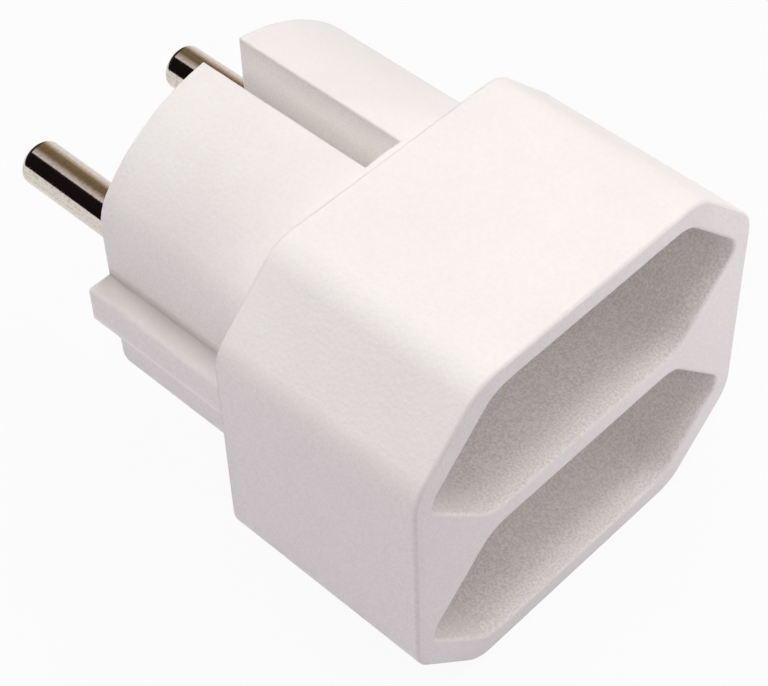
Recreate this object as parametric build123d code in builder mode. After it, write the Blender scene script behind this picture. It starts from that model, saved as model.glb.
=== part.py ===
from build123d import *
from math import sqrt
import os

# Two-way adapter: a round unearthed mains plug that carries a block with two flat-plug wells.
# Frame: the origin lies on the plug's face, midway between the pins. +Y is the way the pins
# point, +X goes along the pin spacing and +Z is up. Plane.XZ.offset(d) is a plane that stands
# d in front of the plug's face, towards the wells.

# Plug outline (mm)
plug_diameter = 38.0
plug_length = 21.1
flat_span = 32.3
rib_span = 37.4
rib_width = 4.2
rib_edge_round = 0.4
slot_width = 4.3
slot_depth = 7.0
slot_end_gap = 0.9
flat_corner_round = 6.0
plug_face_wall = 3.0
plug_edge_round = 0.15
base_plate_thickness = 2.4

# Block and its two wells
block_width = 43.2
block_height = 38.7
block_depth = 22.9
block_corner_leg = 7.8
block_corner_round = 4.2
block_wall = 2.2
front_edge_chamfer = 0.2
web_thickness = 2.3
well_depth = 15.5
well_draft = 1.5
well_tip_round = 2.0
well_corner_round = 4.0
floor_thickness = 2.2

# Pins
pin_spacing = 19.0
pin_diameter = 4.8
pin_length = 18.4
pin_tip_round = 0.7
pin_root_diameter = 5.6
collar_diameter = 7.0
collar_thickness = 1.5
tenon_diameter = 3.0
rivet_head_diameter = 4.4
rivet_head_height = 1.0

# Contact bridges, stamped and bent from one strip each
strip_thickness = 0.7
strip_width = 6.0
clip_length = 12.0
clip_width = 4.5
clip_pinch_gap = 3.5
clip_pinch_setback = 3.0
clip_mouth_gap = 5.0
bend_round = 1.2

# Pin holes in the well floors, with the guide tubes, posts and contact chambers behind them
contact_hole_diameter = 5.0
contact_hole_funnel = 0.6
tube_wall = 1.0
tube_to_clip_gap = 0.8
post_diameter = 6.0
chamber_corner_round = 3.5

# Housing screw and its boss
screw_diameter = 2.9
screw_length = 16.0
screw_point_length = 2.0
screw_head_diameter = 5.6
screw_head_height = 2.0
screw_head_chamfer = 0.6
screw_head_setback = 1.0
screw_recess_width = 0.9
screw_recess_span = 3.4
screw_recess_depth = 1.1
boss_diameter = 7.0
boss_reach = 16.0

# Clearances
housing_gap = 0.15
chamber_gap = 0.7
boss_gap = 0.2
seat_gap = 0.1
pin_gap = 0.05
screw_gap = 0.05
screw_pass_gap = 0.25
screw_tip_room = 1.0

# Places along the axis, counted from the plug's face towards the wells
slot_length = plug_length - slot_end_gap
front_at = plug_length + block_depth
well_floor_at = front_at - well_depth
floor_back_at = well_floor_at - floor_thickness
strip_at = plug_face_wall + collar_thickness
strip_front_at = strip_at + strip_thickness
rivet_top_at = strip_front_at + rivet_head_height
clip_mouth_at = strip_at + clip_length
tube_end_at = clip_mouth_at + tube_to_clip_gap
boss_end_at = floor_back_at - boss_reach
screw_seat_at = screw_head_setback + screw_head_height
screw_tip_at = screw_seat_at + screw_length

# Places across the axis
plug_radius = plug_diameter / 2
pin_x = pin_spacing / 2
well_half_height = (block_height / 2 - block_wall - web_thickness / 2) / 2
well_pitch = web_thickness + 2 * well_half_height
well_tip_x = block_width / 2 - block_wall + well_tip_round * (sqrt(2) - 1)
well_flat_x = well_tip_x - well_half_height
tube_diameter = contact_hole_diameter + 2 * tube_wall
chamber_width = tube_diameter + 2 * chamber_gap
chamber_height = well_pitch + chamber_width

os.makedirs("parts", exist_ok=True)


def block_outline(inset):
    """The block's eight-sided outline with rounded corners, moved in by inset all round."""
    leg = block_corner_leg - inset * (2 - sqrt(2))
    with BuildSketch() as outline:
        Rectangle(block_width - 2 * inset, block_height - 2 * inset)
        chamfer(outline.vertices(), length=leg)
        fillet(outline.vertices(), radius=block_corner_round - inset)
    return outline.sketch


def plug_contour():
    """The plug's round section with a flat on each side and a guide rib along each flat."""
    with BuildSketch() as contour:
        Circle(plug_radius)
        Rectangle(flat_span, plug_diameter, mode=Mode.INTERSECT)
        fillet(contour.vertices(), radius=flat_corner_round)
        Rectangle(rib_span, rib_width)
        across = contour.vertices().group_by(Axis.X)
        fillet(across[0] + across[-1], radius=rib_edge_round)
    return contour.sketch


def well_outline():
    """A well's mouth: six sides, with both ends drawn out to rounded points."""
    with BuildSketch() as outline:
        with BuildLine():
            Polyline(
                (well_tip_x, 0),
                (well_flat_x, well_half_height),
                (-well_flat_x, well_half_height),
                (-well_tip_x, 0),
                (-well_flat_x, -well_half_height),
                (well_flat_x, -well_half_height),
                close=True,
            )
        make_face()
        across = outline.vertices().sort_by(Axis.X)
        fillet([across[0], across[-1]], radius=well_tip_round)
        rows = outline.vertices().group_by(Axis.Y)
        fillet(rows[0] + rows[-1], radius=well_corner_round)
    return outline.sketch


# Plug body: round contour with earth-clip slots, and a base plate that closes the block
with BuildPart() as plug_body:
    with BuildSketch(Plane.XZ) as slotted:
        add(plug_contour())
        with PolarLocations(plug_radius, 2, start_angle=90):
            Rectangle(slot_depth, slot_width, align=(Align.MAX, Align.CENTER), mode=Mode.SUBTRACT)
        rows = slotted.vertices().group_by(Axis.Y)
        fillet(rows[0] + rows[-1], radius=plug_edge_round)
    extrude(amount=slot_length)
    fillet(plug_body.faces().sort_by(Axis.Y)[-1].edges(), radius=plug_edge_round)

    with BuildSketch(Plane.XZ.offset(slot_length)) as collar:
        add(plug_contour())
    extrude(amount=slot_end_gap)
    with BuildSketch(Plane.XZ.offset(plug_length)) as base_plate:
        add(block_outline(block_wall + housing_gap))
    extrude(amount=base_plate_thickness)

    # One chamber for each contact bridge
    with BuildSketch(Plane.XZ.offset(plug_face_wall)) as chambers:
        with GridLocations(pin_spacing, 0, 2, 1):
            RectangleRounded(chamber_width, chamber_height, chamber_corner_round)
    extrude(until=Until.LAST, mode=Mode.SUBTRACT)

    # Socket for the block's screw boss
    with BuildSketch(Plane.XZ.offset(boss_end_at - seat_gap)) as boss_socket:
        Circle(boss_diameter / 2 + boss_gap)
    extrude(until=Until.LAST, mode=Mode.SUBTRACT)

    with Locations(-Plane.XZ):
        CounterBoreHole(
            radius=screw_diameter / 2 + screw_pass_gap,
            counter_bore_radius=screw_head_diameter / 2 + screw_pass_gap,
            counter_bore_depth=screw_seat_at,
            depth=boss_end_at,
        )
        with GridLocations(pin_spacing, 0, 2, 1):
            Hole(pin_root_diameter / 2 + pin_gap, depth=plug_face_wall)
plug_body.part.label = "plug_body"
export_step(plug_body.part, "parts/plug_body.step")


# Socket block: eight-sided shell with two drafted wells, open at the back
with BuildPart() as socket_block:
    with BuildSketch(Plane.XZ.offset(plug_length)) as outside:
        add(block_outline(0))
    extrude(amount=block_depth)

    with BuildSketch(Plane.XZ.offset(front_at)) as wells:
        with GridLocations(0, well_pitch, 1, 2):
            add(well_outline())
    extrude(amount=-well_depth, taper=well_draft, mode=Mode.SUBTRACT)
    chamfer(socket_block.faces().sort_by(Axis.Y)[0].edges(), length=front_edge_chamfer)

    with BuildSketch(Plane.XZ.offset(plug_length)) as back_opening:
        add(block_outline(block_wall))
    extrude(amount=floor_back_at - plug_length, mode=Mode.SUBTRACT)

    # Guide tubes round the pin holes, posts that hold the riveted pins down, and the screw boss
    with BuildSketch(Plane.XZ.offset(tube_end_at)) as tubes:
        with GridLocations(pin_spacing, well_pitch, 2, 2):
            Circle(tube_diameter / 2)
    extrude(amount=floor_back_at - tube_end_at)
    with BuildSketch(Plane.XZ.offset(rivet_top_at + seat_gap)) as posts:
        with GridLocations(pin_spacing, 0, 2, 1):
            Circle(post_diameter / 2)
    extrude(amount=floor_back_at - rivet_top_at - seat_gap)
    with BuildSketch(Plane.XZ.offset(boss_end_at)) as boss:
        Circle(boss_diameter / 2)
    extrude(amount=boss_reach)

    with Locations(Plane.XZ.offset(well_floor_at)):
        with GridLocations(pin_spacing, well_pitch, 2, 2):
            CounterSinkHole(
                radius=contact_hole_diameter / 2,
                counter_sink_radius=contact_hole_diameter / 2 + contact_hole_funnel,
                depth=well_floor_at - tube_end_at,
                counter_sink_angle=90,
            )
    with Locations(-Plane.XZ.offset(boss_end_at)):
        Hole(screw_diameter / 2 + screw_gap, depth=screw_tip_at + screw_tip_room - boss_end_at)
socket_block.part.label = "socket_block"
export_step(socket_block.part, "parts/socket_block.step")


for side, name in ((-1, "left"), (1, "right")):
    # Turned pin: its thicker root fills the plug's face, its collar seats behind that face,
    # and its riveted end holds the bridge
    with BuildPart() as pin:
        with BuildSketch(Plane((side * pin_x, 0, 0))) as half_section:
            with BuildLine():
                Polyline(
                    (0, pin_length),
                    (pin_diameter / 2, pin_length),
                    (pin_diameter / 2, 0),
                    (pin_root_diameter / 2, 0),
                    (pin_root_diameter / 2, -plug_face_wall),
                    (collar_diameter / 2, -plug_face_wall),
                    (collar_diameter / 2, -strip_at),
                    (tenon_diameter / 2, -strip_at),
                    (tenon_diameter / 2, -strip_front_at),
                    (rivet_head_diameter / 2, -strip_front_at),
                    (rivet_head_diameter / 2, -rivet_top_at),
                    (0, -rivet_top_at),
                    close=True,
                )
            make_face()
            tip_edge = half_section.vertices().group_by(Axis.Y)[-1].sort_by(Axis.X)[-1]
            fillet(tip_edge, radius=pin_tip_round)
        revolve(axis=Axis((side * pin_x, 0, 0), (0, 1, 0)))
    pin.part.label = f"{name}_pin"
    export_step(pin.part, f"parts/{name}_pin.step")

    # Contact bridge: a flat strip under the rivet, with a spring clip bent up at each end
    with BuildPart() as bridge:
        for height in (-well_pitch / 2, well_pitch / 2):
            clip_plane = Plane((side * pin_x, 0, height - clip_width / 2))
            with BuildSketch(clip_plane) as clip:
                half_mouth = clip_mouth_gap / 2 + strip_thickness
                half_pinch = clip_pinch_gap / 2 + strip_thickness
                pinch_at = clip_mouth_at - clip_pinch_setback
                with BuildLine() as outer_face:
                    FilletPolyline(
                        (-half_mouth, -clip_mouth_at),
                        (-half_pinch, -pinch_at),
                        (-strip_width / 2, -strip_at),
                        (strip_width / 2, -strip_at),
                        (half_pinch, -pinch_at),
                        (half_mouth, -clip_mouth_at),
                        radius=bend_round,
                    )
                    offset(amount=strip_thickness, side=Side.RIGHT)
                make_face()
            extrude(amount=clip_width)
        with BuildSketch(Plane.XZ.offset(strip_at)) as strip:
            with Locations((side * pin_x, 0)):
                Rectangle(strip_width, well_pitch - clip_width)
                Circle(tenon_diameter / 2 + pin_gap, mode=Mode.SUBTRACT)
        extrude(amount=strip_thickness)
    bridge.part.label = f"{name}_contact_bridge"
    export_step(bridge.part, f"parts/{name}_contact_bridge.step")


# Housing screw: cross-recessed head, sunk in the plug's face, and a pointed shank
with BuildPart() as housing_screw:
    with BuildSketch(Plane.XY) as half_section:
        with BuildLine():
            Polyline(
                (0, -screw_head_setback),
                (screw_head_diameter / 2, -screw_head_setback),
                (screw_head_diameter / 2, -screw_seat_at),
                (screw_diameter / 2, -screw_seat_at),
                (screw_diameter / 2, screw_point_length - screw_tip_at),
                (0, -screw_tip_at),
                close=True,
            )
        make_face()
    revolve(axis=Axis.Y)
    chamfer(housing_screw.faces().sort_by(Axis.Y)[-1].edges(), length=screw_head_chamfer)
    with BuildSketch(Plane.XZ.offset(screw_head_setback)) as cross:
        Rectangle(screw_recess_span, screw_recess_width)
        Rectangle(screw_recess_width, screw_recess_span)
    extrude(amount=screw_recess_depth, mode=Mode.SUBTRACT)
housing_screw.part.label = "housing_screw"
export_step(housing_screw.part, "parts/housing_screw.step")
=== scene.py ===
from math import cos, pi, radians, sin

import bpy
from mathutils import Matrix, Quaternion, Vector


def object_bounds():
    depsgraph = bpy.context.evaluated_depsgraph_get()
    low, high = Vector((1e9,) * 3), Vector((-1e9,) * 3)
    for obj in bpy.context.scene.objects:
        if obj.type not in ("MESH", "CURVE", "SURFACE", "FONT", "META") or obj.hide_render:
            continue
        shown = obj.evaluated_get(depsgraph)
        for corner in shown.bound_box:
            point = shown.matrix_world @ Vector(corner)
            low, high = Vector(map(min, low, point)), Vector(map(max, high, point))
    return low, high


# Two-way flat-plug adapter, lying on its block. Metres, in the part's own frame: the origin is on the
# plug's face midway between the pins, +Y is the way the pins point and +Z is up.
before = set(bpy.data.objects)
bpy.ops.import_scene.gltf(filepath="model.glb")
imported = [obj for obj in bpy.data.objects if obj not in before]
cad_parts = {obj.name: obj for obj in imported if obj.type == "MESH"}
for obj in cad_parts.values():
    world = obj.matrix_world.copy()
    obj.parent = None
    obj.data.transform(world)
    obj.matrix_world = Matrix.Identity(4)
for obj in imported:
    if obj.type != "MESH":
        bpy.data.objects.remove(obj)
cad_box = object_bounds()
low_corner = Vector(cad_box[0])
high_corner = Vector(cad_box[1])

MM = 0.001

# Camera, solved from the photograph's edges
CAMERA_PLACE = Vector((-94.43, -115.18, 146.93)) * MM
CAMERA_AIM = Vector((-3.84, -23.29, 0.0)) * MM
CAMERA_ROLL = radians(-2.21)
CAMERA_LENS = 101.2
CAMERA_SENSOR = 36.0
CAMERA_NEAR = 5.0 * MM

# Floor and background
FLOOR_SIZE = 4.0
FLOOR_COLOUR = (0.72, 0.67, 0.75)
WHITE = (1.0, 1.0, 1.0)
SHADOW_SHARE = 0.08

# Studio lamps: compass angle from +X towards +Y, height angle, distance in metres and watts.
# Each lamp is a square half as wide as it is far away.
LAMP_COLOUR = (1.0, 0.965, 0.96)
LAMP_SPREAD = 0.5
LAMPS = {
    "right": (0, 60, 0.8, 2.9),
    "above": (300, 75, 0.8, 0.83),
    "behind": (90, 25, 0.8, 2.9),
    "left_front": (225, 45, 0.8, 0.88),
    "near_left": (180, 50, 0.33, 0.38),
    "near_front": (290, 10, 0.10, 0.014),
    "near_right": (330, 30, 0.12, 0.015),
}

# The room that the metal mirrors: colours round an arch over the part, from its right foot to its left
ROOM_RADIUS = 1.3
ROOM_LENGTH = 2.6
ROOM_STEPS = 60
ROOM_COLOURS = (
    (0.03, (1.0, 0.90, 0.84)),
    (0.21, (0.28, 0.20, 0.12)),
    (0.40, (0.20, 0.145, 0.08)),
    (0.57, (0.80, 0.72, 0.70)),
    (0.60, (0.80, 0.72, 0.70)),
    (0.61, (0.010, 0.007, 0.007)),
)
ROOM_END_COLOUR = (0.03, 0.025, 0.02)
ARCH_SPAN = (0.5, 1.0)  # the half of a radial gradient's full turn that lies above the floor

# Plastic: colours, and patterns with their scales counted per metre
PLASTIC = (0.90, 0.882, 0.866)
PLASTIC_SHADE = (0.85, 0.83, 0.812)
PLASTIC_PIT = (0.77, 0.74, 0.705)
PLASTIC_PEAK = (0.985, 0.96, 0.93)
# Painted shade for the corner above each rib
PLASTIC_PAINTED_SHADE = (0.30, 0.27, 0.24)
# Painted highlight for the lower edge of each rib
PLASTIC_PAINTED_HIGHLIGHT = (0.99, 0.98, 0.97)
PLASTIC_ROUGHNESS = (0.40, 0.52)
GRAIN_SCALE = 2600.0
GRAIN_HEIGHT = 0.05 * MM
GRAIN_STRENGTH = 0.8
CLOUD_SCALE = 90.0
CLOUD_SPAN = (0.3, 0.7)
SHADE_SPAN = (0.7, 1.3)
MOTTLE_SCALE = 4200.0
MOTTLE_SPAN = (0.35, 0.65)
EDGE_SOFTNESS = 0.4 * MM
EDGE_SAMPLES = 4

# Share of the wells' mottling on upright sides, and the upward part of the normal over which it fades
SIDE_MOTTLE = 0.35
SIDE_SPAN = (0.2, 0.8)

# Planes that part the wells' walls from the outside of the block, set in from the part's box
WELL_SIDE = high_corner.x - 1.1 * MM
WELL_TOP = high_corner.z - 1.15 * MM
WELL_DIAGONAL = high_corner.x + high_corner.z - 9.45 * MM
BLOCK_FRONT = low_corner.y + 0.1 * MM
BLOCK_REAR = -21.1 * MM

# Painted light on the ribs: painted shade in the corner above each rib, and a painted highlight line
# along its lower edge
RIB_ROOT = Vector((16.4, 0.0, 2.1)) * MM
PAINTED_SHADE_REACH = 2.5 * MM
PAINTED_SHADE_SHARE = 0.42
PAINTED_SHADE_SQUEEZE = 1.8
RIB_EDGE = Vector((18.65, 0.0, -1.8)) * MM
PAINTED_HIGHLIGHT_REACH = 0.7 * MM
PAINTED_HIGHLIGHT_SHARE = 1.0

# Metals: bright and dull colours, scales of the drawn lines along each axis and limits of roughness
METALS = {
    "nickel_plate": ((0.67, 0.615, 0.56), (0.52, 0.47, 0.405), (4200.0, 90.0, 4200.0), (0.06, 0.14)),
    "contact_brass": ((0.72, 0.55, 0.24), (0.42, 0.28, 0.12), (3000.0, 300.0, 3000.0), (0.25, 0.42)),
    "screw_steel": ((0.62, 0.62, 0.64), (0.44, 0.44, 0.45), (1500.0, 1500.0, 1500.0), (0.28, 0.45)),
}
SPECKLE_SCALE = 3200.0
SPECKLE_HEIGHT = 0.01 * MM
SPECKLE_STRENGTH = 0.25
WORN_SPAN = (0.95, 1.2)
ROUGH_SPAN = (0.7, 1.3)

# Finish of each solid
FINISHES = {
    "plug_body": "white_plastic",
    "socket_block": "white_plastic",
    "left_pin": "nickel_plate",
    "right_pin": "nickel_plate",
    "left_contact_bridge": "contact_brass",
    "right_contact_bridge": "contact_brass",
    "housing_screw": "screw_steel",
}

# Sockets of the Mix node when it blends colours
MIX_FACTOR = 0
MIX_FIRST = 6
MIX_SECOND = 7
MIX_RESULT = 2


class Nodes:
    """A node tree, with short ways to add and join its nodes."""

    def __init__(self, tree):
        self.tree = tree
        self.tree.nodes.clear()

    def add(self, kind, inputs=(), **settings):
        node = self.tree.nodes.new(kind)
        for name, value in settings.items():
            setattr(node, name, value)
        for name, value in dict(inputs).items():
            self.feed(node.inputs[name], value)
        return node

    def feed(self, socket, value):
        if isinstance(value, bpy.types.NodeSocket):
            self.tree.links.new(value, socket)
        else:
            socket.default_value = value

    def noise(self, vector, scale, detail=2.0, roughness=0.5):
        node = self.add("ShaderNodeTexNoise", {
            "Vector": vector, "Scale": scale, "Detail": detail, "Roughness": roughness})
        return node.outputs["Fac"]

    def span(self, value, limits, result=(0.0, 1.0)):
        """Carry a value from between two limits to between two results."""
        node = self.add("ShaderNodeMapRange", {
            "Value": value, "From Min": limits[0], "From Max": limits[1],
            "To Min": result[0], "To Max": result[1]})
        return node.outputs["Result"]

    def blend(self, factor, first, second):
        """Two colours blended, all of the second where the factor is 1."""
        node = self.add("ShaderNodeMix", data_type="RGBA")
        self.feed(node.inputs[MIX_FACTOR], factor)
        self.feed(node.inputs[MIX_FIRST], first)
        self.feed(node.inputs[MIX_SECOND], second)
        return node.outputs[MIX_RESULT]

    def math(self, operation, first, second=0.0):
        return self.add("ShaderNodeMath", {0: first, 1: second}, operation=operation).outputs[0]

    def object_place(self, scale=(1.0, 1.0, 1.0), turn=(0.0, 0.0, 0.0)):
        place = self.add("ShaderNodeTexCoord").outputs["Object"]
        mapping = self.add("ShaderNodeMapping", {"Vector": place, "Scale": scale, "Rotation": turn})
        return mapping.outputs["Vector"]

    def axes(self, vector):
        return self.add("ShaderNodeSeparateXYZ", {0: vector}).outputs

    def soft_edges(self, radius):
        return self.add("ShaderNodeBevel", {"Radius": radius}, samples=EDGE_SAMPLES).outputs["Normal"]

    def bump(self, height, strength, distance, normal=None):
        node = self.add("ShaderNodeBump", {"Height": height, "Strength": strength, "Distance": distance})
        if normal is not None:
            self.feed(node.inputs["Normal"], normal)
        return node.outputs["Normal"]

    def seen_directly(self):
        """1 for rays from the camera, from mirrors and through glass."""
        path = self.add("ShaderNodeLightPath").outputs
        mirrored = self.math("MAXIMUM", path["Is Glossy Ray"], path["Is Transmission Ray"])
        return self.math("MAXIMUM", path["Is Camera Ray"], mirrored)

    def glow(self, colour):
        return self.add("ShaderNodeEmission", {"Color": colour, "Strength": 1.0})

    def output(self, shader, kind="ShaderNodeOutputMaterial"):
        self.add(kind, {"Surface": shader.outputs[0]})

    def surface(self, **inputs):
        """A principled shader, with its inputs' spaces written as underscores."""
        named = {name.replace("_", " "): value for name, value in inputs.items()}
        self.output(self.add("ShaderNodeBsdfPrincipled", named))


def rgba(colour):
    return (*colour, 1.0)


def new_material(name):
    material = bpy.data.materials.new(name)
    material.use_nodes = True
    return material, Nodes(material.node_tree)


def along_ribs(n, axes, line, reach, share, squeeze=1.0):
    """A share that fades with the distance from one line along each rib of the plug."""
    x, y, z = axes
    here = n.add("ShaderNodeCombineXYZ", {
        "X": n.math("ABSOLUTE", x), "Z": n.math("MULTIPLY", z, squeeze)}).outputs[0]
    middle = (line.x, 0.0, line.z * squeeze)
    away = n.add("ShaderNodeVectorMath", {0: here, 1: middle}, operation="DISTANCE").outputs["Value"]
    fade = n.span(away, (0.0, reach), (share, 0.0))
    return n.math("MULTIPLY", fade, n.math("GREATER_THAN", y, BLOCK_REAR))


def in_wells(n, axes):
    """1 on the walls of the wells, 0 on the rest of the plastic."""
    x, y, z = axes
    side = n.math("ABSOLUTE", x)
    top = n.math("ABSOLUTE", z)
    tests = (
        n.math("LESS_THAN", side, WELL_SIDE),
        n.math("LESS_THAN", top, WELL_TOP),
        n.math("LESS_THAN", n.math("ADD", side, top), WELL_DIAGONAL),
        n.math("LESS_THAN", y, BLOCK_REAR),
        n.math("GREATER_THAN", y, BLOCK_FRONT),
    )
    inside = tests[0]
    for test in tests[1:]:
        inside = n.math("MULTIPLY", inside, test)
    return inside


def on_sides(n):
    """A share of mottling for upright surfaces, and none for those that face up."""
    normal = n.add("ShaderNodeTexCoord").outputs["Normal"]
    return n.span(n.axes(normal)["Z"], SIDE_SPAN, (SIDE_MOTTLE, 0.0))


def white_plastic():
    """Moulded white plastic: a fine grain, faint flow clouds, mottling, painted shade above the ribs and
    a painted highlight on their lower edges.
    """
    material, n = new_material("white_plastic")
    place = n.object_place()
    axes = n.axes(place)
    grain = n.noise(place, GRAIN_SCALE, detail=3.0, roughness=0.6)
    clouds = n.noise(place, CLOUD_SCALE, detail=3.0)
    mottle = n.noise(place, MOTTLE_SCALE, detail=1.0, roughness=0.8)
    outer = n.blend(n.span(n.math("ADD", grain, clouds), SHADE_SPAN), rgba(PLASTIC_SHADE), rgba(PLASTIC))
    inner = n.blend(n.span(mottle, MOTTLE_SPAN), rgba(PLASTIC_PIT), rgba(PLASTIC_PEAK))
    clean = n.blend(n.math("MAXIMUM", in_wells(n, axes), on_sides(n)), outer, inner)
    # Painted highlight: a lighter line along the lower edge of each rib
    painted_highlight = along_ribs(n, axes, RIB_EDGE, PAINTED_HIGHLIGHT_REACH, PAINTED_HIGHLIGHT_SHARE)
    # Painted shade: darker colour in the corner above each rib
    painted_shade = along_ribs(n, axes, RIB_ROOT, PAINTED_SHADE_REACH, PAINTED_SHADE_SHARE, PAINTED_SHADE_SQUEEZE)
    with_painted_highlight = n.blend(painted_highlight, clean, rgba(PLASTIC_PAINTED_HIGHLIGHT))
    n.surface(
        Base_Color=n.blend(painted_shade, with_painted_highlight, rgba(PLASTIC_PAINTED_SHADE)),
        Roughness=n.span(clouds, CLOUD_SPAN, PLASTIC_ROUGHNESS),
        Normal=n.bump(grain, GRAIN_STRENGTH, GRAIN_HEIGHT, n.soft_edges(EDGE_SOFTNESS)),
    )
    return material


def plated_metal(name, bright, dull, stretch, roughness):
    """Plated metal with fine drawn lines and dull speckle."""
    material, n = new_material(name)
    lines = n.noise(n.object_place(stretch), 1.0, detail=4.0, roughness=0.65)
    speckle = n.noise(n.object_place(), SPECKLE_SCALE)
    marks = n.math("ADD", speckle, lines)
    n.surface(
        Base_Color=n.blend(n.span(marks, WORN_SPAN), rgba(bright), rgba(dull)),
        Metallic=1.0,
        Roughness=n.span(marks, ROUGH_SPAN, roughness),
        Normal=n.bump(speckle, SPECKLE_STRENGTH, SPECKLE_HEIGHT),
    )
    return material


def floor_white():
    """Floor that the camera and mirrors see as near white, with part of the true shadow left in."""
    material, n = new_material("floor_white")
    share = n.math("MULTIPLY", n.seen_directly(), 1.0 - SHADOW_SHARE)
    lit = n.add("ShaderNodeBsdfDiffuse", {"Color": rgba(FLOOR_COLOUR)})
    plain = n.glow(rgba(WHITE))
    n.output(n.add("ShaderNodeMixShader", {0: share, 1: lit.outputs[0], 2: plain.outputs[0]}))
    return material


def room_walls():
    """Light of the room's walls, by the angle round the arch."""
    material, n = new_material("room_walls")
    upright = n.object_place(turn=(-pi / 2, 0.0, 0.0))
    angle = n.add("ShaderNodeTexGradient", {"Vector": upright}, gradient_type="RADIAL").outputs["Fac"]
    ramp = n.add("ShaderNodeValToRGB", {"Fac": n.span(angle, ARCH_SPAN)})
    stops = ramp.color_ramp.elements
    stops.remove(stops[-1])
    first, *others = ROOM_COLOURS
    stops[0].position = first[0]
    stops[0].color = rgba(first[1])
    for position, colour in others:
        stops.new(position).color = rgba(colour)
    n.output(n.glow(ramp.outputs["Color"]))
    return material


def room_end():
    """Dark wall that closes the room behind the pins."""
    material, n = new_material("room_end")
    n.output(n.glow(rgba(ROOM_END_COLOUR)))
    return material


def dress_nodes():
    """Give every solid of the part its finish."""
    materials = {name: plated_metal(name, *look) for name, look in METALS.items()}
    materials["white_plastic"] = white_plastic()
    for node, finish in FINISHES.items():
        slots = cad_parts[node].data.materials
        slots.clear()
        slots.append(materials[finish])


def make_floor():
    bpy.ops.mesh.primitive_plane_add(size=FLOOR_SIZE, location=(0.0, 0.0, low_corner.z))
    floor = bpy.context.object
    floor.name = "floor"
    floor.data.materials.append(floor_white())


def make_room():
    """Arch over the part with its far end closed, which only mirrors see."""
    angles = [pi * step / ROOM_STEPS for step in range(ROOM_STEPS + 1)]
    arch = [(ROOM_RADIUS * cos(angle), ROOM_RADIUS * sin(angle)) for angle in angles]
    points = [(x, y, z) for y in (-ROOM_LENGTH / 2, ROOM_LENGTH / 2) for x, z in arch]
    count = len(arch)
    faces = [(i, i + 1, i + 1 + count, i + count) for i in range(ROOM_STEPS)]
    faces.append(tuple(range(count, 2 * count)))
    mesh = bpy.data.meshes.new("room")
    mesh.from_pydata(points, [], faces)
    mesh.materials.append(room_walls())
    mesh.materials.append(room_end())
    mesh.polygons[-1].material_index = 1
    room = bpy.data.objects.new("room", mesh)
    bpy.context.scene.collection.objects.link(room)
    room.location.z = low_corner.z
    room.visible_camera = False
    room.visible_diffuse = False
    room.visible_transmission = False
    room.visible_shadow = False


def make_world():
    """Plain white for the camera and for mirrors, and no light on the part."""
    world = bpy.data.worlds.new("studio")
    bpy.context.scene.world = world
    world.use_nodes = True
    n = Nodes(world.node_tree)
    white = n.add("ShaderNodeBackground", {"Color": rgba(WHITE), "Strength": n.seen_directly()})
    n.output(white, "ShaderNodeOutputWorld")


def make_lights():
    """Square lamps round the part, all aimed at its middle."""
    middle = (low_corner + high_corner) / 2
    for name, (compass, height, distance, watts) in LAMPS.items():
        lamp = bpy.data.lights.new(name, "AREA")
        lamp.shape = "SQUARE"
        lamp.size = LAMP_SPREAD * distance
        lamp.energy = watts
        lamp.color = LAMP_COLOUR
        turn = radians(compass)
        rise = radians(height)
        way = Vector((cos(rise) * cos(turn), cos(rise) * sin(turn), sin(rise)))
        holder = bpy.data.objects.new(name, lamp)
        bpy.context.scene.collection.objects.link(holder)
        holder.location = middle + way * distance
        holder.rotation_euler = (-way).to_track_quat("-Z", "Y").to_euler()
        holder.visible_camera = False
    # The pins' tips mirror the dark end wall instead
    bpy.data.objects["behind"].visible_glossy = False


def make_camera():
    camera = bpy.data.cameras.new("camera")
    camera.lens = CAMERA_LENS
    camera.sensor_width = CAMERA_SENSOR
    camera.sensor_fit = "HORIZONTAL"
    camera.clip_start = CAMERA_NEAR
    holder = bpy.data.objects.new("camera", camera)
    bpy.context.scene.collection.objects.link(holder)
    holder.location = CAMERA_PLACE
    aim = (CAMERA_AIM - CAMERA_PLACE).to_track_quat("-Z", "Y")
    holder.rotation_euler = (aim @ Quaternion((0, 0, 1), CAMERA_ROLL)).to_euler()
    bpy.context.scene.camera = holder


dress_nodes()
make_floor()
make_room()
make_world()
make_lights()
make_camera()
bpy.context.scene.view_settings.view_transform = "Standard"
